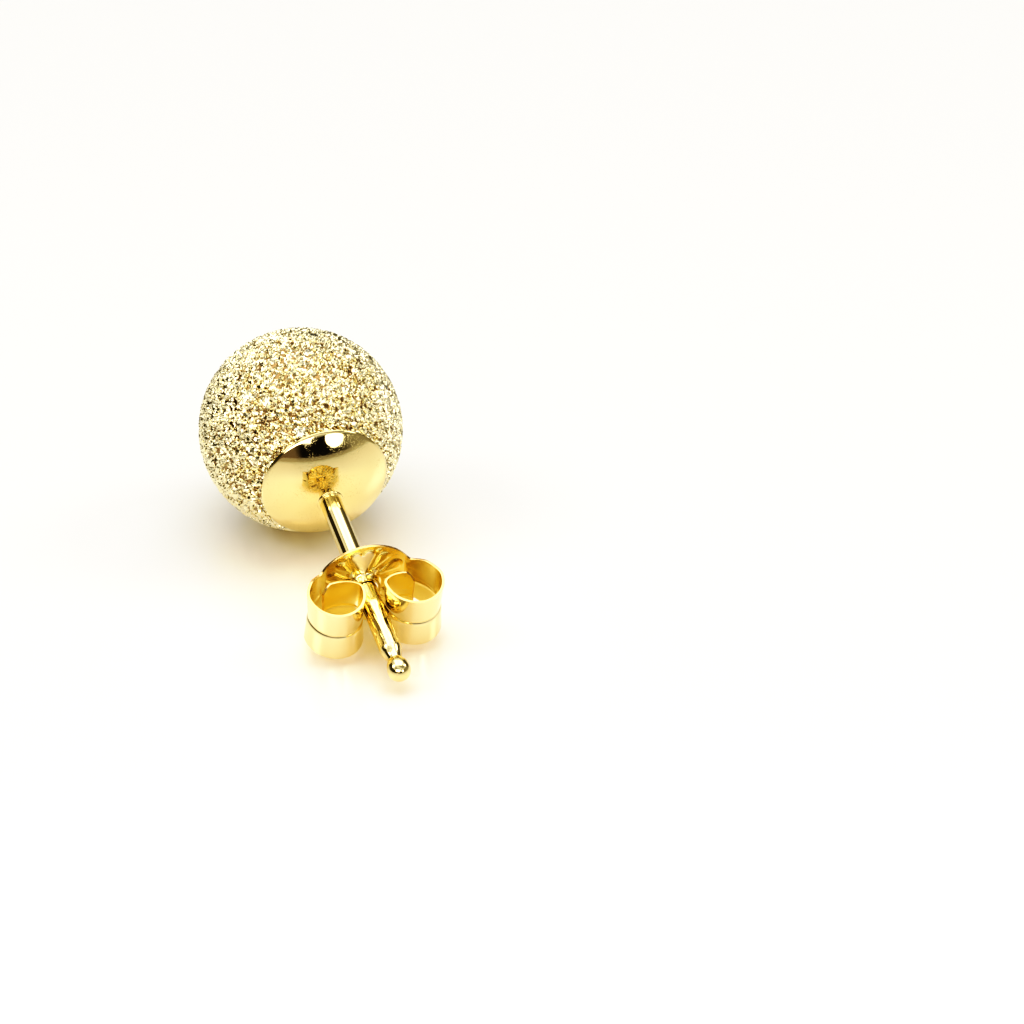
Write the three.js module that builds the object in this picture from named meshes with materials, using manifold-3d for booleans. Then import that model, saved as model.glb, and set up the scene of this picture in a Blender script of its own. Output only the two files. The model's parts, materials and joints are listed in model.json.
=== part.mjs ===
// A ball stud earring in pale yellow gold, lying unworn on a surface at z = 0.
// A hollow ball sits in a polished cap that is soldered to a round wire post, and a stamped
// butterfly back grips the post. Millimetres, +Z up. The post points along -Y, the ball's
// front along +Y, and the ball and the lower lobe of the back are what touches the surface.
import * as THREE from 'three';
import { mergeVertices } from 'three/addons/utils/BufferGeometryUtils.js';
import Module from 'manifold-3d';

const wasm = await Module();
wasm.setup();

// The ball, a thin shell drilled at the back
const ballRadius = 4;
const ballWall = 0.2;

// The cap and the post soldered into it
const capSeat = 0.03;
const capSheet = 0.13;
const capAngle = THREE.MathUtils.degToRad(39.5);
const wireRadius = 0.42;
const pegLength = 1.4;
const pegClearance = 0.04;
const solderRadius = 0.52;
const solderHeight = 0.12;
const capTop = ballRadius + capSeat + capSheet;

// The post from the cap to its end: a notch, then a rounded tip
const postLength = 9.53;
const tipRadius = 0.44;
const notchRadius = 0.3;
const notchLength = 0.75;
const tipPlace = capTop + postLength - tipRadius;

// The butterfly back, stamped from one sheet, and how far from the cap it is pushed on
const backGap = 4.44;
const nutPlace = capTop + backGap;
const nutSheet = 0.13;
const lobeRadius = 1.97;
const holeClearance = 0.08;
const gripClearance = 0.03;
const collarWall = 0.1;
const collarHeight = 0.2;
const stripHeight = 2.24;
const stripLap = 0.12;
const stripRoot = Math.sqrt(lobeRadius ** 2 - (stripHeight / 2) ** 2) - stripLap;
const creaseDepth = 0.1;
const scrollHalfWidth = 1.07;
const scrollHalfDepth = 1.22;
const cornerCut = 0.34;

// Each strip's inward curl: half its width and depth, and how far it turns
const scrolls = [
  { side: -1, curlHalfWidth: 0.76, curlHalfDepth: 0.46, curlTurn: 142 },
  { side: 1, curlHalfWidth: 0.6, curlHalfDepth: 0.5, curlTurn: 135 },
];

// Petals pressed into the plate round its hole
const petalCount = 8;
const petalMargin = 0.06;
const petalHalfWidth = 0.36;
const petalRelief = 0.05;

// Sides of the turned pieces, and of the plate's rim
const turnedSides = 40;
const plateSides = 72;
const plateRings = 6;
const ballStep = THREE.MathUtils.degToRad(9);
const scrollSteps = 46;

// The stud leans on the plate's lower lobe, so its droop follows from the ball and the lobe
const plateBack = nutPlace + nutSheet;
const lobeAngle = Math.atan2(lobeRadius, plateBack);
const droop = Math.asin(ballRadius / Math.hypot(plateBack, lobeRadius)) - lobeAngle;

// Points of a circle about the post's axis: [distance from the axis, distance from the ball's centre]
function arc(radius, from, to, steps, centre = 0) {
  return Array.from({ length: steps + 1 }, (_, step) => {
    const angle = THREE.MathUtils.lerp(from, to, step / steps);
    return [radius * Math.sin(angle), centre + radius * Math.cos(angle)];
  });
}

// A piece turned about the post's axis. The middles of its flats lie at the stated radius.
function turned(profile, sides) {
  const toCorner = 1 / Math.cos(Math.PI / sides);
  const points = profile.map(([radius, along]) => new THREE.Vector2(radius * toCorner, -along));
  return new THREE.LatheGeometry(points, sides, Math.PI / sides);
}

// The ball's outline from its front round to the drilled hole, then back along the inside.
// One flat of the outline faces the surface that the ball stands on.
function ballProfile(radius, holeRadius) {
  const hole = Math.asin(holeRadius / radius);
  const floorFlat = Math.PI / 2 - droop;
  const angles = [];
  for (let angle = floorFlat + ballStep / 2; angle > hole + ballStep / 3; angle -= ballStep) {
    angles.push(angle);
  }
  angles.reverse();
  for (let angle = floorFlat + 1.5 * ballStep; angle < Math.PI - ballStep / 3; angle += ballStep) {
    angles.push(angle);
  }
  const corner = radius / Math.cos(ballStep / 2);
  const round = angles.map((angle) => [corner * Math.sin(angle), corner * Math.cos(angle)]);
  return [[holeRadius, radius * Math.cos(hole)], ...round, [0, -radius]];
}

function ballGeometry() {
  const holeRadius = wireRadius + pegClearance;
  const outside = ballProfile(ballRadius, holeRadius);
  const inside = ballProfile(ballRadius - ballWall, holeRadius);
  return turned([...inside.reverse(), ...outside], turnedSides);
}

// The peg in the ball, the cap's inside, rim and outside, the solder, the post, notch and tip
function capAndPostGeometry() {
  const inner = ballRadius + capSeat;
  const outer = capTop;
  const rimRound = capSheet / 4 / outer;
  const rimAngle = capAngle + rimRound;
  const rim = [inner + capSheet / 4, outer - capSheet / 4];
  const solderAngle = Math.asin(solderRadius / outer);
  const solderBase = outer * Math.cos(solderAngle);
  const pegAngle = Math.asin(wireRadius / inner);
  const tipMeeting = Math.PI - Math.asin(notchRadius / tipRadius);
  const notchEnd = tipPlace + tipRadius * Math.cos(tipMeeting);
  const notch = Array.from({ length: 6 }, (_, step) => {
    const share = step / 6;
    const drop = THREE.MathUtils.smoothstep(share, 0, 0.8) * (wireRadius - notchRadius);
    return [wireRadius - drop, notchEnd - notchLength * (1 - share)];
  });
  const profile = [
    [0, ballRadius - pegLength],
    [wireRadius, ballRadius - pegLength],
    ...arc(inner, pegAngle, capAngle, 6),
    ...rim.map((radius) => [radius * Math.sin(rimAngle), radius * Math.cos(rimAngle)]),
    ...arc(outer, capAngle, solderAngle, 8),
    [solderRadius, solderBase + solderHeight / 2],
    [(solderRadius + wireRadius) / 2, solderBase + solderHeight],
    [wireRadius, solderBase + solderHeight],
    ...notch,
    ...arc(tipRadius, tipMeeting, 0, 9, tipPlace),
  ];
  return turned(profile.reverse(), turnedSides);
}

// How far the plate is pressed towards the tip at a place on it: long drops, blunt at the rim.
// The two petals in line with the strips end where those begin.
function relief(x, z) {
  const petalInner = tipRadius + holeClearance + collarWall + petalMargin;
  const petalOuter = lobeRadius - 3 * petalMargin;
  const radius = Math.hypot(x, z);
  const sector = (2 * Math.PI) / petalCount;
  const middle = sector * Math.round(Math.atan2(z, x) / sector);
  const across = radius * Math.sin(Math.atan2(z, x) - middle);
  const outer = Math.abs(Math.sin(middle)) < 0.1 ? stripRoot - petalMargin : petalOuter;
  const along = (radius - petalInner) / (outer - petalInner);
  if (along <= 0 || along >= 1) return 0;
  const halfWidth = petalHalfWidth * Math.sin(Math.PI * along ** 1.6);
  const share = THREE.MathUtils.clamp(1 - Math.abs(across) / halfWidth, 0, 1);
  return petalRelief * THREE.MathUtils.smoothstep(share, 0, 0.6);
}

// The plate: a disc with a collar round its hole and petals pressed into it
function plateGeometry() {
  const hole = tipRadius + holeClearance;
  const collar = hole + collarWall;
  const stations = Array.from({ length: plateRings + 1 }, (_, ring) => {
    return THREE.MathUtils.lerp(collar, lobeRadius, ring / plateRings);
  });
  const front = stations.slice().reverse().map((radius) => [radius, nutPlace]);
  const back = stations.map((radius) => [radius, plateBack]);
  const profile = [
    [hole, nutPlace],
    [hole, plateBack + collarHeight],
    [collar, plateBack + collarHeight],
    ...back,
    ...front,
    [hole, nutPlace],
  ];
  const geometry = turned(profile, plateSides);
  const place = geometry.attributes.position;
  for (let index = 0; index < place.count; index += 1) {
    place.setY(index, place.getY(index) - relief(place.getX(index), place.getZ(index)));
  }
  return geometry;
}

// The middle line of a strip: flat along the plate, round the scroll, then curled inwards
class StripPath extends THREE.Curve {
  constructor({ side, curlHalfWidth, curlHalfDepth, curlTurn }) {
    super();
    const grip = tipRadius + gripClearance - creaseDepth / 2 + nutSheet / 2;
    const middle = nutPlace + nutSheet / 2;
    const centre = grip + scrollHalfWidth;
    this.side = side;
    this.runs = [
      {
        length: centre - stripRoot,
        at: (share) => [THREE.MathUtils.lerp(stripRoot, centre, share), middle],
      },
      {
        length: 1.5 * Math.PI * Math.sqrt(scrollHalfWidth * scrollHalfDepth),
        at: (share) => {
          const turn = Math.PI * (1.5 * share - 0.5);
          const depth = middle + scrollHalfDepth * (1 + Math.sin(turn));
          return [centre + scrollHalfWidth * Math.cos(turn), depth];
        },
      },
      {
        length: THREE.MathUtils.degToRad(curlTurn) * Math.sqrt(curlHalfWidth * curlHalfDepth),
        at: (share) => {
          const turn = Math.PI + THREE.MathUtils.degToRad(curlTurn) * share;
          const depth = middle + scrollHalfDepth + curlHalfDepth * Math.sin(turn);
          return [grip + curlHalfWidth * (1 + Math.cos(turn)), depth];
        },
      },
    ];
    this.total = this.runs.reduce((sum, run) => sum + run.length, 0);
  }

  getPoint(share, target = new THREE.Vector3()) {
    let rest = share * this.total;
    let run = this.runs[0];
    for (const next of this.runs) {
      run = next;
      if (rest <= run.length) break;
      if (next !== this.runs[this.runs.length - 1]) rest -= run.length;
    }
    const [across, along] = run.at(Math.min(rest / run.length, 1));
    return target.set(this.side * across, -along, 0);
  }
}

// A strip is the sheet's section, creased at mid height, carried along its path
function stripGeometry(path) {
  const half = stripHeight / 2;
  const bend = (path.side * creaseDepth) / 2;
  const face = (path.side * nutSheet) / 2;
  const section = new THREE.Shape([
    new THREE.Vector2(-half, bend - face),
    new THREE.Vector2(0, -bend - face),
    new THREE.Vector2(half, bend - face),
    new THREE.Vector2(half, bend + face),
    new THREE.Vector2(0, face - bend),
    new THREE.Vector2(-half, bend + face),
  ]);
  return new THREE.ExtrudeGeometry(section, { steps: scrollSteps, extrudePath: path, bevelEnabled: false });
}

// The corner that is trimmed off a strip's end, above or below
function cornerGeometry(path, level) {
  const size = cornerCut * Math.SQRT2;
  const end = path.getPointAt(1);
  const along = path.getTangentAt(1);
  const up = new THREE.Vector3(0, 0, 1);
  const turn = new THREE.Matrix4().makeBasis(along, up.clone().cross(along), up);
  const geometry = new THREE.BoxGeometry(size, creaseDepth + 2 * nutSheet, size);
  geometry.rotateY(Math.PI / 4);
  geometry.applyMatrix4(turn);
  geometry.translate(end.x, end.y, end.z + (level * stripHeight) / 2);
  return geometry;
}

// A geometry whose shared corners are one vertex, without the triangles that this flattens
function welded(geometry) {
  const bare = geometry.clone();
  bare.deleteAttribute('normal');
  bare.deleteAttribute('uv');
  const merged = mergeVertices(bare, 1e-4);
  const corners = merged.index.array;
  const triangles = [];
  for (let corner = 0; corner < corners.length; corner += 3) {
    const [a, b, c] = corners.slice(corner, corner + 3);
    if (a !== b && b !== c && c !== a) triangles.push(a, b, c);
  }
  merged.setIndex(triangles);
  return merged;
}

// A closed geometry as a solid that can be joined and cut
function solid(geometry) {
  const merged = welded(geometry);
  return new wasm.Manifold(new wasm.Mesh({
    numProp: 3,
    vertProperties: new Float32Array(merged.attributes.position.array),
    triVerts: new Uint32Array(merged.index.array),
  }));
}

function geometryOf(body) {
  const mesh = body.getMesh();
  const geometry = new THREE.BufferGeometry();
  geometry.setAttribute('position', new THREE.BufferAttribute(new Float32Array(mesh.vertProperties), 3));
  geometry.setIndex(new THREE.BufferAttribute(new Uint32Array(mesh.triVerts), 1));
  const merged = welded(geometry);
  merged.computeVertexNormals();
  return merged;
}

function butterflyGeometry() {
  let body = solid(plateGeometry());
  for (const scroll of scrolls) {
    const path = new StripPath(scroll);
    let strip = solid(stripGeometry(path));
    for (const level of [-1, 1]) {
      strip = strip.subtract(solid(cornerGeometry(path, level)));
    }
    body = body.add(strip);
  }
  return geometryOf(body);
}

function gold(name, geometry, color, roughness) {
  const mesh = new THREE.Mesh(geometry, new THREE.MeshStandardMaterial({ color, roughness, metalness: 1 }));
  mesh.name = name;
  return mesh;
}

const stud = new THREE.Group();
stud.add(gold('ball', ballGeometry(), 0xe9cf86, 0.38));
stud.add(gold('cap_and_post', capAndPostGeometry(), 0xeacb7c, 0.12));
stud.add(gold('butterfly_back', butterflyGeometry(), 0xeabf62, 0.14));
stud.rotation.x = droop;

// The origin is under the middle of the whole stud, on the surface
const earring = new THREE.Group();
earring.add(stud);
earring.updateMatrixWorld(true);
const box = new THREE.Box3().setFromObject(earring, true);
stud.position.set(-(box.min.x + box.max.x) / 2, -(box.min.y + box.max.y) / 2, -box.min.z);
earring.updateMatrixWorld(true);

export default earring;
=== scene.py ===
import json

import bpy
import numpy as np
from mathutils import Matrix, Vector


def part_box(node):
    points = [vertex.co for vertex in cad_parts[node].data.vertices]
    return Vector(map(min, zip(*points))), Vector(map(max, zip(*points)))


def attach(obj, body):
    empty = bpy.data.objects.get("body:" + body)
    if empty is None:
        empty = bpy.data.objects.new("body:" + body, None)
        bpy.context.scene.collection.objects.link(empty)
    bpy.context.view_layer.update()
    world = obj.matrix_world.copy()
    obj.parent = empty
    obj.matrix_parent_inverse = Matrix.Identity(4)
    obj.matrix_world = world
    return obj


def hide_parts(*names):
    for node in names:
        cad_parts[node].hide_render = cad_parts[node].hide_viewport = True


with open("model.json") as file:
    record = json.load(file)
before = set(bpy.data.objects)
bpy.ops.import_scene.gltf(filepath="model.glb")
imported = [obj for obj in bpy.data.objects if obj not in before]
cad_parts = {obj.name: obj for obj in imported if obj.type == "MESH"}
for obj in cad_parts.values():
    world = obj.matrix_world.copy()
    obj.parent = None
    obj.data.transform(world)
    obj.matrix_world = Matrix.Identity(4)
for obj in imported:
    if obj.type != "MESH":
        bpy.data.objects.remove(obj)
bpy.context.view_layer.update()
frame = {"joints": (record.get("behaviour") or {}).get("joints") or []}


# The ball: a hollow ball of thin pale yellow gold sheet, whose drilled hole the cap hides. A diamond
# point has struck its whole outside into small tilted facets and pits, which sparkle.
mm = 0.001
ball_radius = 4 * mm
ball_wall = 0.2 * mm
ball_steps = 126
inside_steps = 27
step_shift = 0.5
shift_seed = 5
struck_size = 0.14 * mm
struck_seed = 11
struck_tilt = 0.85
struck_depth = 0.09 * mm
even_depth = 0.45 * struck_depth
pit_depth = 0.35 * struck_size
pit_rarity = (0.81, 0.85)
flat_spacing = 0.9 * mm
flat_seed = 23
flat_share = 0.27
flat_core = 0.16 * mm
flat_radius = 0.2 * mm
flat_evenness = 0.9
pale_gold = (0.97, 0.90, 0.63, 1)
warm_gold = (0.94, 0.83, 0.51, 1)
painted_flat_reflection_gold = (0.42, 0.39, 0.28, 1)
painted_pit_shade_gold = (0.30, 0.18, 0.07, 1)
grain_size = 0.06 * mm
glint_size = 0.1 * mm

post_way = np.array(frame["joints"][0]["axis"], float)
post_way /= np.linalg.norm(post_way)
across_way = np.array([1.0, 0.0, 0.0])
up_way = np.cross(post_way, across_way)
ball_middle = np.array([0.0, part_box("ball")[1].y - ball_radius, ball_radius])


def placed(across, out, height):
    """Places in the stud's own axes put into the frame: the ball's middle plus across times the
    sideways direction, out times the post's direction and height times the direction up the plate."""
    across, out, height = np.broadcast_arrays(across, out, height)
    parts = across[..., None] * across_way + out[..., None] * post_way + height[..., None] * up_way
    return ball_middle + parts


def sphere_skin(steps):
    """A unit sphere from six square grids: grid lines at even angles across each face of a cube, blown
    up to length one. The grids share their edges, and each square is cut into two triangles."""
    line = np.tan(np.linspace(-np.pi / 4, np.pi / 4, steps + 1))
    u, v = np.meshgrid(line, line, indexing="ij")
    number = np.arange((steps + 1) ** 2).reshape(steps + 1, steps + 1)
    corners, faces = [], []
    for axis in range(3):
        for side in (1, -1):
            face = np.empty(u.shape + (3,))
            face[..., axis] = side
            face[..., (axis + 1) % 3] = u * side
            face[..., (axis + 2) % 3] = v
            a, b, c, d = number[:-1, :-1], number[1:, :-1], number[1:, 1:], number[:-1, 1:]
            first = len(corners) * number.size
            faces += [np.stack([a, b, c], -1) + first, np.stack([a, c, d], -1) + first]
            corners.append(face.reshape(-1, 3))
    corners = np.concatenate(corners)
    _, keep, shared = np.unique(np.round(corners, 6), axis=0, return_index=True, return_inverse=True)
    corners = corners[keep]
    faces = shared.ravel()[np.concatenate([f.reshape(-1, 3) for f in faces])]
    return corners / np.linalg.norm(corners, axis=1)[:, None], faces


def struck(places, size, seed):
    """The nearest struck point to each place, where every cube of the given size holds one at random:
    how far away it is, the way from it to the place, and four random numbers of its own."""
    margin = 6
    cubes = int(2 * ball_radius / size) + margin
    draw = np.random.default_rng(seed)
    shift = draw.random((cubes, cubes, cubes, 3))
    own = draw.random((cubes, cubes, cubes, 4))
    home = np.floor(places / size).astype(int)
    nearest = np.full(len(places), np.inf)
    way = np.zeros_like(places)
    numbers = np.zeros((len(places), 4))
    for step in np.ndindex(3, 3, 3):
        cube = home + np.array(step) - 1
        i, j, k = (cube + cubes // 2).T
        gap = places - (cube + shift[i, j, k]) * size
        length = np.linalg.norm(gap, axis=1)
        nearer = length < nearest
        nearest[nearer] = length[nearer]
        way[nearer] = gap[nearer]
        numbers[nearer] = own[i, j, k][nearer]
    return nearest, way, numbers


def smooth(value, low, high):
    """0 below low, 1 above high, and the cubic 3t squared minus 2t cubed between them."""
    share = np.clip((value - low) / (high - low), 0, 1)
    return share * share * (3 - 2 * share)


def ball_skin():
    """The sphere with its points shifted a little along the surface, then pushed in by the plane of the
    facet that each lies on, deeper where the facet is a pit, and evenly where a wide flat was cut.
    The sheet's inside is a plain sphere that faces the other way. Also gives, for every point, how
    deeply it was struck and whether it lies on a flat."""
    way, faces = sphere_skin(ball_steps)
    draw = np.random.default_rng(shift_seed)
    way += (draw.random(way.shape) - 0.5) * (step_shift * np.pi / 2 / ball_steps)
    way /= np.linalg.norm(way, axis=1)[:, None]
    places = way * ball_radius
    _, from_point, own = struck(places, struck_size, struck_seed)
    tilt = (own[:, :3] - 0.5) * 2 * struck_tilt
    facet = np.einsum("ij,ij->i", from_point, tilt)
    pit = smooth(own[:, 3], *pit_rarity) * pit_depth
    from_flat, _, flat_own = struck(places, flat_spacing, flat_seed)
    flat = (flat_own[:, 3] < flat_share) * smooth(-from_flat, -flat_radius, -flat_core)
    depth = even_depth + (facet + pit) * (1 - flat_evenness * flat)
    depth = np.clip(depth, 0, struck_depth)
    inside, inside_faces = sphere_skin(inside_steps)
    corners = np.concatenate([way * (ball_radius - depth)[:, None], inside * (ball_radius - ball_wall)])
    faces = np.concatenate([faces, inside_faces[:, ::-1] + len(way)])
    plain = np.zeros(len(inside))
    return corners, faces, np.append(depth / struck_depth, plain), np.append(flat, plain)


def make_piece(name, corners, faces, smooth_faces=True):
    """A mesh object in the frame. Its faces point outwards, and its place is in its mesh."""
    mesh = bpy.data.meshes.new(name)
    mesh.from_pydata(corners.tolist(), [], faces.tolist())
    mesh.polygons.foreach_set("use_smooth", np.full(len(mesh.polygons), smooth_faces))
    mesh.update()
    piece = bpy.data.objects.new(name, mesh)
    bpy.context.scene.collection.objects.link(piece)
    return piece


def mark(piece, name, numbers):
    """Keeps a number for each point of a piece's mesh, which its finish reads by that name."""
    piece.data.attributes.new(name, "FLOAT", "POINT").data.foreach_set("value", numbers)


class Socket:
    """An output of a node in a material. Arithmetic on it adds Math nodes, and node adds any other."""

    def __init__(self, out):
        self.out = out
        self.tree = out.id_data

    def node(self, kind, settings=None, sockets=None, give=0):
        """A new node of that kind: its settings first, then its sockets' values or links."""
        new = self.tree.nodes.new(kind)
        for key, value in (settings or {}).items():
            setattr(new, key, value)
        for key, value in (sockets or {}).items():
            if isinstance(value, Socket):
                self.tree.links.new(value.out, new.inputs[key])
            else:
                new.inputs[key].default_value = value
        return Socket(new.outputs[give])

    def math(self, operation, first, second):
        """A Math node on two numbers."""
        return self.node("ShaderNodeMath", {"operation": operation}, {0: first, 1: second})

    def __add__(self, other):
        return self.math("ADD", self, other)

    def __sub__(self, other):
        return self.math("SUBTRACT", self, other)

    def __rsub__(self, other):
        return self.math("SUBTRACT", other, self)

    def __mul__(self, other):
        return self.math("MULTIPLY", self, other)

    __radd__ = __add__
    __rmul__ = __mul__

    def ease(self, low, high):
        """0 at low, 1 at high, and smooth between them."""
        sockets = {"Value": self, "From Min": low, "From Max": high}
        return self.node("ShaderNodeMapRange", {"interpolation_type": "SMOOTHSTEP"}, sockets)

    def noise(self, size, detail=2.0, stretch=(1, 1, 1)):
        """Cloudy noise from 0 to 1, with lumps of about that size in metres, longer where stretched."""
        sockets = {"Vector": self.vector("MULTIPLY", stretch), "Scale": 1 / size, "Detail": detail}
        return self.node("ShaderNodeTexNoise", None, sockets)

    def mix(self, low, high):
        """The colour low where this is 0, and high where it is 1."""
        return self.node("ShaderNodeMix", {"data_type": "RGBA"}, {0: self, 6: low, 7: high}, 2)

    def vector(self, operation, other=None, give=0):
        """A Vector Math node on this and another place or way. Output 1 is a length or product."""
        sockets = {0: self} if other is None else {0: self, 1: other}
        return self.node("ShaderNodeVectorMath", {"operation": operation}, sockets, give)

    def attribute(self, name):
        """The number that the mesh keeps under that name for each of its points."""
        return self.node("ShaderNodeAttribute", {"attribute_name": name}, None, 2)

    def bump(self, strength):
        """The normal of a surface whose height in metres this is."""
        return self.node("ShaderNodeBump", None, {"Strength": strength, "Distance": 1.0, "Height": self})


def new_finish(name):
    """A metal material: its shader node, and its Object coordinates to begin its maths with."""
    material = bpy.data.materials.new(name)
    material.use_nodes = True
    metal = material.node_tree.nodes["Principled BSDF"]
    metal.inputs["Metallic"].default_value = 1.0
    place = Socket(material.node_tree.nodes.new("ShaderNodeTexCoord").outputs["Object"])
    return material, metal, place


def feed(metal, **sockets):
    """Links what varies over a surface to the metal's sockets, named with _ for a space."""
    for key, value in sockets.items():
        value.tree.links.new(value.out, metal.inputs[key.replace("_", " ")])


struck_gold, metal, place = new_finish("struck_gold")
grain = place.node("ShaderNodeTexVoronoi", None, {"Vector": place, "Scale": 1 / grain_size}, 0)
glint = place.node("ShaderNodeTexVoronoi", None, {"Vector": place, "Scale": 1 / glint_size}, 1)
skin = place.noise(0.5 * mm).mix(pale_gold, warm_gold)
# The wide flats are painted dull grey: a painted dull reflection on these flat cuts.
skin = place.attribute("cut_flat").mix(skin, painted_flat_reflection_gold)
# The deepest-struck points are painted dark brown: painted shade in the pits.
painted_pit_shade = place.attribute("struck_in").ease(0.6, 1.0) * 0.95
height = grain * (0.007 * mm) + place.noise(0.03 * mm) * (0.003 * mm)
feed(
    metal,
    Base_Color=painted_pit_shade.mix(skin, painted_pit_shade_gold),
    Roughness=glint.node("ShaderNodeSeparateColor", None, {0: glint}) * 0.16 + 0.06,
    Normal=height.bump(0.6),
)

corners, faces, struck_in, cut_flat = ball_skin()
ball = make_piece("struck_ball", corners + ball_middle, faces, smooth_faces=False)
mark(ball, "struck_in", struck_in)
mark(ball, "cut_flat", cut_flat)
ball.data.materials.append(struck_gold)
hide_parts("ball")
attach(ball, "stud")


# The cap and the post: a domed cap with a rounded rim over the ball's hole, and a round wire soldered
# a little below its middle, so that the dome leans upwards from it. The wire has a notch and a rounded
# tip at its end. All polished pale gold, with fine marks of wear.
cap_seat = 0.03 * mm
cap_sheet = 0.13 * mm
cap_inner = ball_radius + cap_seat
cap_outer = cap_inner + cap_sheet
cap_angle = np.radians(35.6)
cap_lean = np.radians(4.4)
rim_reach = 0.15 * mm
wire_radius = 0.42 * mm
solder_radius = 0.52 * mm
solder_foot = solder_radius + 0.02 * mm
lean_start = solder_radius + 0.05 * mm
lean_full = 2 * mm
bead_radius = 0.035 * mm
bead_tuck = 0.5
climb_height = 2.6 * bead_radius
post_length = 9.53 * mm
tip_radius = 0.44 * mm
tip_stretch = 1.45
tip_place = cap_outer + post_length - tip_radius
notch_radius = 0.3 * mm
notch_length = 0.62 * mm
notch_slope = 0.85
turned_sides = 160
bright_gold = (0.93, 0.78, 0.41, 1)
soft_gold = (0.91, 0.74, 0.36, 1)
worn_gold = (0.62, 0.46, 0.18, 1)


def arc(middle, radius, first, last, steps):
    """Points of an arc about a middle (distance from the axis, distance along it): middle plus radius
    times the sine and the cosine of angles from first to last."""
    angle = np.linspace(first, last, steps)
    return np.stack([middle[0] + radius * np.sin(angle), middle[1] + radius * np.cos(angle)], -1)


def cap_and_post_outline():
    """From the inside of the cap round its rim, which is half an ellipse, over the dome, up the
    solder's bead and the hollow above it, along the wire, down into the notch and round the tip, whose
    near half is stretched. Pairs of distance from the axis and distance along it."""
    rim_turn = np.linspace(np.pi, 0, 20)[1:-1, None]
    rim_angle = cap_angle + rim_reach / cap_outer * np.sin(rim_turn)
    rim_distance = cap_inner + cap_sheet * (1 + np.cos(rim_turn)) / 2
    rim_arc = np.concatenate([rim_distance * np.sin(rim_angle), rim_distance * np.cos(rim_angle)], 1)
    solder_angle = np.arcsin(solder_foot / cap_outer)
    solder_base = cap_outer * np.cos(solder_angle)
    bead_middle = [solder_radius - bead_radius, solder_base + bead_radius]
    bead = arc(bead_middle, bead_radius, np.pi / 2 + bead_tuck, 0, 10)
    climb_middle = [wire_radius + bead_radius, solder_base + climb_height]
    climb = arc(climb_middle, bead_radius, np.pi, 1.5 * np.pi, 8)
    meeting = np.pi - np.arcsin(notch_radius / tip_radius)
    notch_end = tip_place + tip_stretch * tip_radius * np.cos(meeting)
    shoulder = arc([0, 0], tip_radius, meeting, np.pi / 2, 24) * [1, tip_stretch] + [0, tip_place]
    share = np.linspace(0, 1, 40)
    drop = smooth(share, 0, notch_slope) * (wire_radius - notch_radius)
    notch = np.stack([wire_radius - drop, notch_end - notch_length * (1 - share)], -1)
    return np.concatenate([
        arc([0, 0], cap_inner, 0, cap_angle, 60),
        rim_arc,
        arc([0, 0], cap_outer, cap_angle, solder_angle, 70),
        bead,
        climb,
        notch[:-1],
        shoulder[:-1],
        arc([0, tip_place], tip_radius, np.pi / 2, 0, 24),
    ])


def turned(outline, sides):
    """An outline turned about the post's axis: distance times the cosine and the sine of each angle.
    Points on the axis are one point, and the faces there are triangles."""
    angle = np.arange(sides) * 2 * np.pi / sides
    radius, out = outline[:, :1], outline[:, 1:]
    corners = placed(radius * np.cos(angle), out + 0 * angle, radius * np.sin(angle)).reshape(-1, 3)
    row = np.arange(len(outline))[:, None] * sides
    number = row + np.arange(sides + 1) % sides
    number[0], number[-1] = number[0, 0], number[-1, 0]
    a, b, c, d = number[:-1, :-1], number[1:, :-1], number[1:, 1:], number[:-1, 1:]
    quads = np.stack([a, d, c, b], -1).reshape(-1, 4)
    split = np.concatenate([quads[:, [0, 1, 2]], quads[:, [0, 2, 3]]])
    whole = (split[:, 0] != split[:, 1]) & (split[:, 1] != split[:, 2]) & (split[:, 2] != split[:, 0])
    used, index = np.unique(split[whole], return_inverse=True)
    return corners[used], index.reshape(-1, 3)


def leaned(corners):
    """The cap's dome turned a little upwards about the ball's middle, by an angle that grows smoothly
    from nothing at the solder: out times its cosine less height times its sine, and height times its
    cosine plus out times its sine."""
    across, out, height = ((corners - ball_middle) @ np.stack([across_way, post_way, up_way], 1)).T
    lean = cap_lean * smooth(np.hypot(across, height), lean_start, lean_full)
    turned_out = out * np.cos(lean) - height * np.sin(lean)
    turned_up = height * np.cos(lean) + out * np.sin(lean)
    return placed(across, turned_out, turned_up)


polished_gold, metal, place = new_finish("polished_gold")
wear = place.noise(1.1 * mm).ease(0.38, 0.66)
scratches = place.noise(0.05 * mm, 3, (1, 0.12, 1)).ease(0.56, 0.66) * wear
waves = place.noise(0.8 * mm)
height = waves * (0.0055 * mm) + place.noise(0.08 * mm) * (0.001 * mm) - scratches * (0.004 * mm)
gold = place.noise(1.5 * mm).mix(bright_gold, soft_gold)
feed(
    metal,
    Base_Color=(scratches * 0.35).mix(gold, worn_gold),
    Roughness=scratches * 0.12 + wear * 0.05 + 0.05,
    Normal=height.bump(0.5),
)
corners, faces = turned(cap_and_post_outline(), turned_sides)
cap_and_post = make_piece("polished_cap_and_post", leaned(corners), faces)
cap_and_post.data.materials.append(polished_gold)
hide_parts("cap_and_post")
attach(cap_and_post, "stud")


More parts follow.
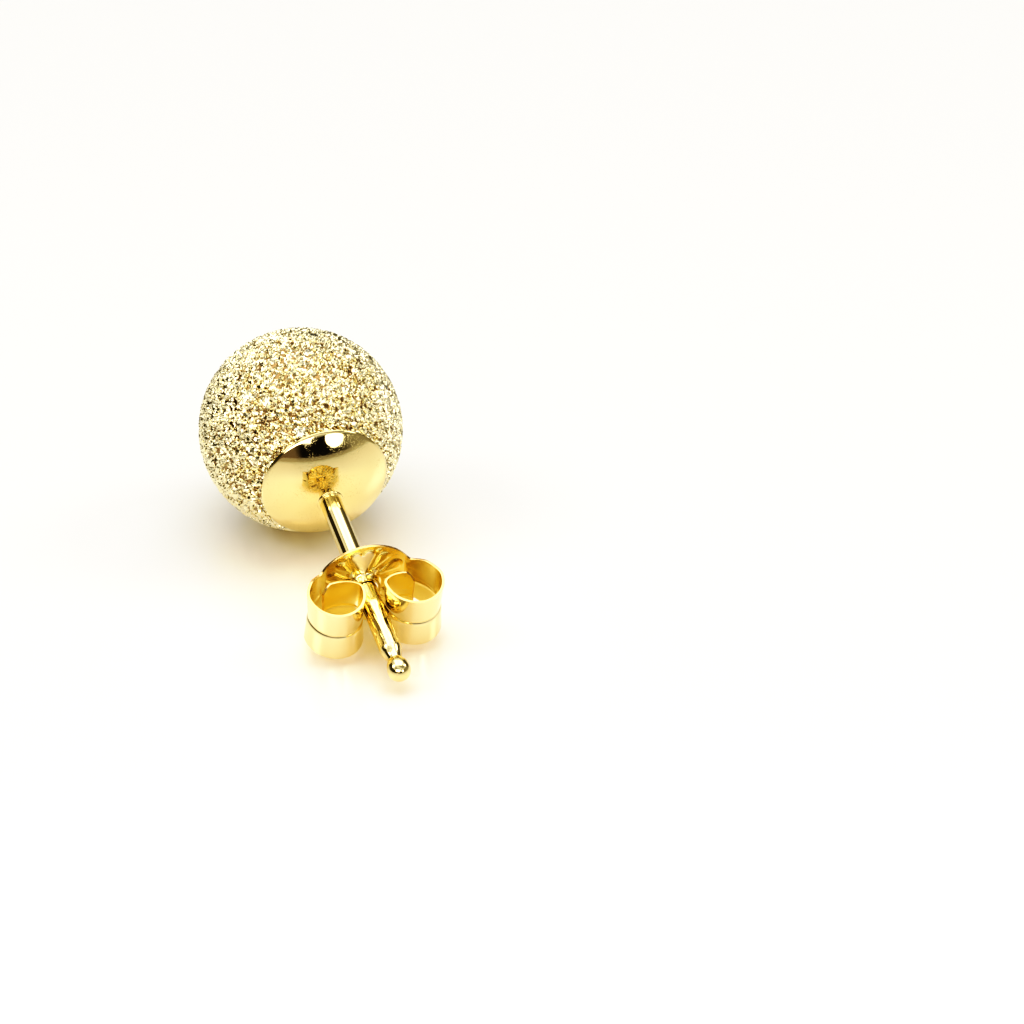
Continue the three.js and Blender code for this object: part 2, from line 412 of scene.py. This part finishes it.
# The butterfly back: one piece of gold sheet, stamped with a collar round its hole and a ring of
# petals, creased along its two strips, and rolled up so that the two scrolls grip the post.
sheet = 0.1 * mm
back_gap = 4.44 * mm
plate_middle = cap_outer + back_gap + sheet / 2
lobe_radius = 1.97 * mm
collar_radius = 0.515 * mm
collar_height = 0.34 * mm
collar_bend = 0.17 * mm
strip_half = 1.12 * mm
strip_root = 1.65 * mm
strip_neck = 0.97 * mm
neck_length = 0.12 * mm
widening = (0.1 * mm, 0.8 * mm)
lift_half = 1.2 * mm
corner_power = 1.3
scroll_half_depth = 1.22 * mm
grip_inside_tip = 0.02 * mm
grip = tip_radius - grip_inside_tip + sheet / 2
crease_rise = 0.07 * mm
crease_step = 0.016 * mm
crease_start = 0.3 * mm
groove_depth = 0.03 * mm
groove_width = 0.062 * mm
groove_place = -0.07 * mm
corner_cut = 0.34 * mm
cut_power = 1.3
petal_height = 0.05 * mm
petal_shoulder = 0.07 * mm
ridge_height = 0.03 * mm
ridge_width = 0.035 * mm
relief_start = (0.52 * mm, 0.6 * mm)
relief_margin = (0.02 * mm, 0.12 * mm)
root_rays = 61
lobe_rays = 113
wall_steps = 4
bend_steps = 7
plate_steps = 53
scroll_steps = 86
worn_width = 0.042 * mm
worn_angle = np.radians(50)
collar_edge = (0.7 * mm, 0.62 * mm)
collar_painted_highlight_gold = (0.97, 0.87, 0.56, 1)
frost_painted_sheen_gold = (1.0, 0.93, 0.74, 1)
scroll_columns = ("side", "half_width", "curl_half_width", "curl_half_depth", "curl_turn")
scrolls = [
    (-1, 1.03 * mm, 0.80 * mm, 0.46 * mm, np.radians(142)),
    (1, 1.07 * mm, 0.63 * mm, 0.38 * mm, np.radians(150)),
]
petal_columns = ("petal", "inner", "inner_angle", "outer", "outer_angle", "inner_radius", "outer_radius")
petals = [
    ("heart", 0.58, 95, 1.55, 104, 0.03, 0.21),
    ("heart", 0.58, 95, 1.55, 86, 0.03, 0.21),
    ("heart", 0.58, 95, 1.40, 95, 0.03, 0.21),
    ("right leaf", 0.98, 66, 1.50, 62, 0.05, 0.19),
    ("low right leaf", 0.84, 38, 1.42, 34, 0.06, 0.24),
    ("left leaf", 1.02, 128, 1.50, 129, 0.05, 0.17),
    ("low left leaf", 0.90, 150, 1.42, 153, 0.06, 0.22),
    ("left bud", 0.66, 134, 0.82, 132, 0.04, 0.11),
    ("right bud", 0.62, 56, 0.76, 60, 0.04, 0.10),
    ("left loop", 1.76, 117, 1.77, 117, 0.07, 0.07),
    ("right loop", 1.76, 73, 1.77, 73, 0.07, 0.07),
    ("far right leaf", 0.90, 8, 1.34, 6, 0.06, 0.17),
]
frost_and_sheen_petals = ("heart", "left bud", "right bud")


def plate_relief(across, height):
    """How far the plate is pressed out at each place. A petal is one or two drops: the distance to the
    line from its inner to its outer end, less a radius that grows along it. It is raised inside, with
    a ridge along its outline. The plate's other half has the same petals, half a turn round. Also
    says how much frosting each place has, which the finish makes rougher and paints paler as a painted
    sheen."""
    total = np.zeros(across.shape)
    frost_and_sheen = np.zeros(across.shape)
    for turn in (0, 180):
        beyond = {}
        for row in petals:
            petal = dict(zip(petal_columns, row))
            first_angle = np.radians(petal["inner_angle"] + turn)
            last_angle = np.radians(petal["outer_angle"] + turn)
            first = petal["inner"] * mm * np.array([np.cos(first_angle), np.sin(first_angle)])
            way = petal["outer"] * mm * np.array([np.cos(last_angle), np.sin(last_angle)]) - first
            share = ((across - first[0]) * way[0] + (height - first[1]) * way[1]) / (way @ way)
            share = np.clip(share, 0, 1)
            radius = petal["inner_radius"] + (petal["outer_radius"] - petal["inner_radius"]) * share
            gap = np.hypot(across - first[0] - way[0] * share, height - first[1] - way[1] * share)
            gap = gap - radius * mm
            beyond[petal["petal"]] = np.minimum(beyond.get(petal["petal"], gap), gap)
        for name, gap in beyond.items():
            ridge = ridge_height * np.exp(-((gap / ridge_width) ** 2))
            inside = smooth(-gap, 0, petal_shoulder)
            total = np.maximum(total, ridge + inside * petal_height)
            if name in frost_and_sheen_petals:
                frost_and_sheen = np.maximum(frost_and_sheen, inside)
    return total, frost_and_sheen


def scroll_path(scroll):
    """The middle line of a strip from the plate: an ellipse through three quarters of a turn, its
    first quarter drawn in by a power of the sine and cosine, then a smaller ellipse inwards. Gives
    the points, the outward normals and the length so far."""
    half_width = scroll["half_width"]
    middle = grip + half_width
    start = -np.arccos(((strip_root - middle) / half_width) ** (1 / corner_power))
    round_turn = np.linspace(start, np.pi, scroll_steps)[:, None]
    power = np.where(round_turn < 0, corner_power, 1)
    across, out = np.cos(round_turn), np.sin(round_turn)
    outer = np.concatenate([
        middle + half_width * np.sign(across) * np.abs(across) ** power,
        scroll_half_depth * (1 + np.sign(out) * np.abs(out) ** power),
    ], 1)
    turn = np.linspace(np.pi, np.pi + scroll["curl_turn"], scroll_steps // 2 + 1)[1:, None]
    curl = np.concatenate([
        grip + scroll["curl_half_width"] * (1 + np.cos(turn)),
        scroll_half_depth + scroll["curl_half_depth"] * np.sin(turn),
    ], 1)
    points = np.concatenate([outer, curl])
    way = np.gradient(points, axis=0)
    way /= np.linalg.norm(way, axis=1)[:, None]
    normal = np.stack([way[:, 1], -way[:, 0]], -1)
    length = np.concatenate([[0], np.cumsum(np.linalg.norm(np.diff(points, axis=0), axis=1))])
    return points, normal, length


def grid_faces(number):
    """The four-cornered faces of a grid of corner numbers."""
    a, b, c, d = number[:-1, :-1], number[1:, :-1], number[1:, 1:], number[:-1, 1:]
    return np.stack([a, b, c, d], -1).reshape(-1, 4)


def butterfly_sheet():
    """The middle surface of the stamped sheet. The plate is rays from the collar out to its rim or to a
    strip's root, near which it already rises along the strip's first ellipse. Each strip carries on the
    rays that end at its root, wound round its scroll: a point of its middle line, moved along its
    normal by the crease, at a height that is the ray's share of the strip's half width. Also says for
    every point how much frosting it has, which the finish paints paler as a painted sheen."""
    root_angle = np.arctan2(np.sqrt(lobe_radius ** 2 - strip_root ** 2), strip_root)
    in_root = np.linspace(-root_angle, root_angle, root_rays)
    in_lobe = np.linspace(root_angle, np.pi - root_angle, lobe_rays)[1:-1]
    ray = np.concatenate([in_root, in_lobe, in_root + np.pi, in_lobe + np.pi])
    to_rim = np.full(len(ray), lobe_radius)
    to_root = np.abs(np.cos(ray)) > np.cos(root_angle) - 1e-9
    to_rim[to_root] = strip_root / np.abs(np.cos(ray[to_root]))
    bend = np.linspace(0, np.pi / 2, bend_steps)
    wall = np.linspace(collar_height, collar_bend, wall_steps)[:-1]
    collar_out = collar_radius + np.concatenate([wall * 0, collar_bend * (1 - np.cos(bend))])
    collar_up = np.concatenate([wall, collar_bend * (1 - np.sin(bend))])
    share = np.linspace(0, 1, plate_steps)[1:, None]
    radius = np.concatenate([
        collar_out[:, None] + 0 * to_rim,
        collar_out[-1] + (to_rim - collar_out[-1]) * share,
    ])
    across, height = radius * np.cos(ray), radius * np.sin(ray)
    left_half, right_half = [row[1] for row in scrolls]
    half_width = np.where(across < 0, left_half, right_half)
    lift = np.clip((np.abs(across) - grip - half_width) / half_width, 0, 1)
    rise = 1 - (1 - lift ** (2 / corner_power)) ** (corner_power / 2)
    out = scroll_half_depth * rise * (np.abs(height) < lift_half)
    inner_edge = smooth(radius, *relief_start)
    outer_edge = smooth(to_rim - radius, *relief_margin)
    relief, frost_and_sheen = plate_relief(across, height)
    out = out + relief * inner_edge * outer_edge
    out[: len(collar_up)] += collar_up[:, None]
    corners = [placed(across, plate_middle + out, height).reshape(-1, 3)]
    frost_and_sheen_parts = [frost_and_sheen.ravel()]
    number = np.arange(radius.size).reshape(radius.shape)
    faces = [grid_faces(np.concatenate([number, number[:, :1]], 1))]
    used = radius.size
    for row in scrolls:
        scroll = dict(zip(scroll_columns, row))
        first = 0 if scroll["side"] > 0 else len(in_root) + len(in_lobe)
        shared = number[-1, first: first + len(in_root)]
        level = height[-1, first: first + len(in_root)]
        points, normal, length = scroll_path(scroll)
        half = strip_neck + (level.max() - strip_neck) * smooth(-length, -neck_length, 0)
        half = half + (strip_half - strip_neck) * smooth(length, *widening)
        half = half - corner_cut * np.clip(1 - (length[-1] - length) / corner_cut, 0, 1) ** cut_power
        height_here = level * (half / level.max())[:, None]
        from_groove = height_here - groove_place
        crease = crease_rise * (np.abs(from_groove) / strip_half - 0.5)
        crease = crease - groove_depth * np.exp(-((from_groove / groove_width) ** 2))
        crease = crease + crease_step * (1 - 2 * smooth(from_groove, -groove_width, groove_width))
        crease = crease * smooth(length, 0, crease_start)[:, None]
        x = points[:, :1] + normal[:, :1] * crease
        y = points[:, 1:] + normal[:, 1:] * crease
        strip = placed(scroll["side"] * x[1:], plate_middle + y[1:], height_here[1:])
        corners.append(strip.reshape(-1, 3))
        frost_and_sheen_parts.append(np.zeros(strip.shape[0] * strip.shape[1]))
        strip_number = used + np.arange(strip.shape[0] * strip.shape[1]).reshape(strip.shape[:2])
        used += strip_number.size
        faces.append(grid_faces(np.concatenate([shared[None], strip_number])))
    return np.concatenate(corners), np.concatenate(faces), np.concatenate(frost_and_sheen_parts)


def stamped_finish(name, light, dark, satin):
    """Stamped sheet gold with fine scratches. It is polished round the collar, where a paler colour is a
    painted highlight, and some petals have a frosting, rougher and painted paler as a painted sheen. The
    distance from the post is the length of the cross product of the place with the post's direction."""
    material, metal, place = new_finish(name)
    wear = place.noise(0.9 * mm).ease(0.4, 0.75)
    scratches = place.noise(0.045 * mm, 3, (0.15, 1, 1)).ease(0.6, 0.7) * wear
    height = place.noise(0.45 * mm, 3) * (0.005 * mm) - scratches * (0.001 * mm)
    aside = place.vector("SUBTRACT", tuple(ball_middle)).vector("CROSS_PRODUCT", tuple(post_way))
    collar = aside.vector("LENGTH", give=1).ease(*collar_edge)
    # Petals with a frosting are rougher, and painted paler as a painted sheen.
    frost_and_sheen = place.attribute("frost_and_sheen")
    # Round the collar the colour is paler: a painted highlight on the polished gold.
    gold = collar.mix(place.noise(1.2 * mm).mix(light, dark), collar_painted_highlight_gold)
    feed(
        metal,
        Base_Color=frost_and_sheen.mix(gold, frost_painted_sheen_gold),
        Roughness=scratches * 0.12 + wear * 0.05 + 0.07 + (1 - collar) * satin + frost_and_sheen * 0.2,
        Normal=height.bump(0.5),
    )
    return material


# The inside faces have a deeper, more saturated orange: a painted warm glow of light bounced between the
# gold faces.
inside_gold_painted_glow = stamped_finish("stamped_gold_inside_painted_glow", (1.0, 0.83, 0.32, 1), (0.98, 0.79, 0.27, 1), 0.13)
outside_gold = stamped_finish("stamped_gold_outside", (0.95, 0.81, 0.47, 1), (0.93, 0.78, 0.43, 1), 0.02)
# The rims have a darker colour: painted shade along the sheet's edges.
edge_gold_painted_shade = stamped_finish("stamped_gold_edge_painted_shade", (0.86, 0.61, 0.28, 1), (0.84, 0.57, 0.23, 1), 0.16)
corners, faces, frost_and_sheen = butterfly_sheet()
butterfly = make_piece("stamped_butterfly_back", corners, faces)
mark(butterfly, "frost_and_sheen", frost_and_sheen)
for finish in (inside_gold_painted_glow, outside_gold, edge_gold_painted_shade):
    butterfly.data.materials.append(finish)
wall = butterfly.modifiers.new("sheet", "SOLIDIFY")
wall.thickness = sheet
wall.offset = 0
wall.use_quality_normals = True
wall.material_offset = 1
wall.material_offset_rim = 2
edge = butterfly.modifiers.new("worn_edge", "BEVEL")
edge.width = worn_width
edge.segments = 3
edge.limit_method = "ANGLE"
edge.angle_limit = worn_angle
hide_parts("butterfly_back")
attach(butterfly, "back")


# The surface that the stud lies on, and the light: a pale table, a little glossy, whose colour is
# painted darker far away as a painted pool of light round the stud, a large soft light overhead, a box
# at each side, and a front box and a round lamp behind the camera that light the stud alone, because
# the table would mirror them into the cap.
table_radius = 400 * mm
table_sides = 128
light_pool = (11 * mm, 12 * mm, 0)
pool_radius = 49 * mm
pool_edge = 82 * mm
far_table_painted_shade = (0.42, 0.41, 0.39, 1)
near_table = (0.95, 0.95, 0.95, 1)
thrown_core = 2 * mm
thrown_reach = 11 * mm
painted_even_glow = (0.06, 0.045, 0.02, 1)
painted_gold_glow = (0.24, 0.17, 0.065, 1)
angle = np.arange(table_sides) * 2 * np.pi / table_sides
rim = np.stack([table_radius * np.cos(angle), table_radius * np.sin(angle), 0 * angle], -1)
table = make_piece("table", rim, np.arange(table_sides)[None], smooth_faces=False)
pale_table, surface, place = new_finish("pale_table")
surface.inputs["Metallic"].default_value = 0.0
surface.inputs["Roughness"].default_value = 0.25
surface.inputs["IOR"].default_value = 2.0
surface.inputs["Emission Strength"].default_value = 1.0
# The table's colour is pale near the stud and grey far away: a painted pool of light.
lit = place.vector("DISTANCE", light_pool, 1).ease(pool_edge, pool_radius) + place.noise(30 * mm) * 0.02

# The warm light that the polished gold throws onto the table is painted on it as a glow, strongest under
# the butterfly back, over an even painted glow that lightens all its shadows.
under_back = tuple(plate_middle * post_way + ball_middle)[:2] + (0,)
thrown = place.vector("DISTANCE", under_back, 1).ease(thrown_reach, thrown_core)
feed(
    surface,
    Base_Color=lit.mix(far_table_painted_shade, near_table),
    Emission_Color=thrown.mix(painted_even_glow, painted_gold_glow),
)
table.data.materials.append(pale_table)

# The camera looks down at the stud from behind it. The ball's middle lies so far to the right, down
# and ahead in its view.
camera_turn = np.radians(18.5)
camera_pitch = np.radians(31.42)
lens_to_sensor = 3.993
ball_in_view = np.array([-8.258, -3.226, 159.87]) * mm
away = np.array([np.sin(camera_turn), np.cos(camera_turn), 0])
right = np.array([np.cos(camera_turn), -np.sin(camera_turn), 0])
sky = np.array([0, 0, 1.0])
forward = np.cos(camera_pitch) * away - np.sin(camera_pitch) * sky
down = -np.sin(camera_pitch) * away - np.cos(camera_pitch) * sky
camera_place = ball_middle - ball_in_view @ np.stack([right, down, forward])
camera = bpy.data.objects.new("camera", bpy.data.cameras.new("camera"))
camera.data.sensor_width = 36
camera.data.lens = lens_to_sensor * camera.data.sensor_width
camera.data.clip_start = 0.005
camera_axes = Matrix(np.stack([right, -down, -forward], 1)).to_4x4()
camera.matrix_world = Matrix.Translation(camera_place) @ camera_axes
bpy.context.scene.collection.objects.link(camera)
bpy.context.scene.camera = camera


def soft_light(name, way, distance, wide, tall, power, colour):
    """A flat lamp at a distance from the stud in that direction, facing it: round where no height is
    given, and else wide and tall."""
    data = bpy.data.lights.new(name, "AREA")
    data.shape = "RECTANGLE" if tall else "DISK"
    data.size = wide
    data.size_y = tall or wide
    data.energy = power
    data.color = colour
    side = np.cross(sky, way)
    side /= np.linalg.norm(side)
    turn = Matrix(np.stack([side, np.cross(way, side), way], 1)).to_4x4()
    lamp = bpy.data.objects.new(name, data)
    lamp.matrix_world = Matrix.Translation(way * distance) @ turn
    bpy.context.scene.collection.objects.link(lamp)
    return lamp


def direction(azimuth, elevation):
    """The direction at an azimuth clockwise from straight away from the camera, and an elevation."""
    azimuth, elevation = np.radians(azimuth), np.radians(elevation)
    level = np.cos(azimuth) * away + np.sin(azimuth) * right
    return np.cos(elevation) * level + np.sin(elevation) * sky


box_white = (1, 0.99, 0.98)
soft_light(
    "overhead", direction(0, 74), distance=500 * mm,
    wide=600 * mm, tall=480 * mm, power=1.52, colour=(1, 1, 0.99),
)
front_box = soft_light(
    "front_box", direction(-172, 26), distance=600 * mm,
    wide=460 * mm, tall=200 * mm, power=1.25, colour=box_white,
)
soft_light(
    "left_box", direction(-95, 44), distance=500 * mm,
    wide=180 * mm, tall=180 * mm, power=0.4, colour=box_white,
)
soft_light(
    "right_box", direction(75, 40), distance=500 * mm,
    wide=160 * mm, tall=160 * mm, power=0.3, colour=box_white,
)
round_lamp = soft_light(
    "round_lamp", direction(139, 16), distance=600 * mm,
    wide=215 * mm, tall=0, power=0.45, colour=(1, 0.99, 0.96),
)
stud_alone = bpy.data.collections.new("stud_alone")
for piece in (ball, cap_and_post, butterfly):
    stud_alone.objects.link(piece)
for lamp in (front_box, round_lamp):
    lamp.light_linking.receiver_collection = stud_alone

# The room: bright uneven screens above, which reach lower behind the camera, and dark walls below
# them. Only the camera sees it as plain white.
behind_lift = 0.24
world = bpy.data.worlds.new("studio")
bpy.context.scene.world = world
world.use_nodes = True
look = Socket(world.node_tree.nodes.new("ShaderNodeTexCoord").outputs["Generated"])
level = look.node("ShaderNodeSeparateXYZ", None, {0: look}, 2)
screens = look.noise(0.5, 1.0).ease(0.42, 0.58)
above = screens.mix((0.35, 0.35, 0.34, 1), (0.9, 0.9, 0.88, 1))


def facing(azimuth, elevation, least, most):
    """0 to 1 as the looked-at direction comes near the one given: eased between two cosines."""
    return look.vector("DOT_PRODUCT", tuple(direction(azimuth, elevation)), 1).ease(least, most)


# The walls are nearly black, grey at the right, dim straight ahead, and brown and black behind.
low = facing(95, 9, 0.75, 0.95).mix((0.06, 0.055, 0.04, 1), (0.3, 0.29, 0.25, 1))
low = facing(0, 8, 0.3, 0.8).mix(low, (0.15, 0.14, 0.11, 1))
low = facing(190, 6, 0.9, 0.975).mix(low, (0.21, 0.165, 0.13, 1))
low = facing(162, 9, 0.922, 0.972).mix(low, (0.02, 0.017, 0.013, 1))
behind = look.vector("DOT_PRODUCT", tuple(-away), 1)
behind = behind.math("MAXIMUM", behind, 0.0)
room = (level + behind * behind * behind_lift).ease(0.5, 0.56).mix(low, above)
seen = look.node("ShaderNodeLightPath", None, None, "Is Camera Ray")
colour = seen.mix(room, (1.0, 1.0, 1.0, 1))
world.node_tree.links.new(colour.out, world.node_tree.nodes["Background"].inputs["Color"])
world.node_tree.nodes["Background"].inputs["Strength"].default_value = 1.0

# The picture's tones are a little harder than the light itself: dark ones darker, light ones lighter.
tone_points = [(0.05, 0.012), (0.14, 0.07), (0.25, 0.195), (0.38, 0.36), (0.6, 0.62), (0.85, 0.9)]
shown = bpy.context.scene.view_settings
shown.view_transform = "Standard"
shown.use_curve_mapping = True
tone = shown.curve_mapping.curves[3]
for light, printed in tone_points:
    tone.points.new(light, printed)
shown.curve_mapping.update()
